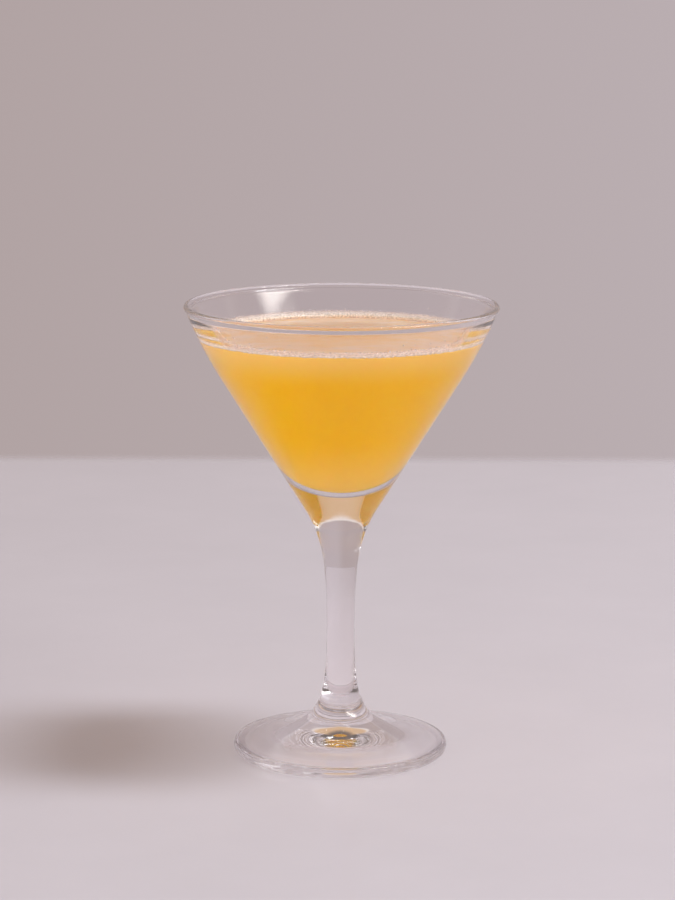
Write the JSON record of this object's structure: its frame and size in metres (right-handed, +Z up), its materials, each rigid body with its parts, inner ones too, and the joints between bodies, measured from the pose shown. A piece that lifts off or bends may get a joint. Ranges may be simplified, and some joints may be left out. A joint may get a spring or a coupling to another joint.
{
  "type": "sidecar cocktail",
  "caption": "Cloudy orange-yellow cocktail with a thin froth ring in a clear stemmed glass with a flared conical bowl and a round foot.",
  "frame": {"origin": "centre of the foot on the surface that the glass stands on", "axes": "+Z up along the stem, +Y away from the viewer, +X to the viewer's right"},
  "size_m": [0.098, 0.098, 0.143],
  "materials": {
    "clear_glass": "clear, polished pressed glass",
    "cocktail": "cloudy orange-yellow liquid with a glossy surface",
    "froth": "fine pale bubbles"
  },
  "bodies": {
    "root": {"glass": "clear_glass", "drink": "cocktail", "froth_ring": "froth"}
  },
  "joints": []
}
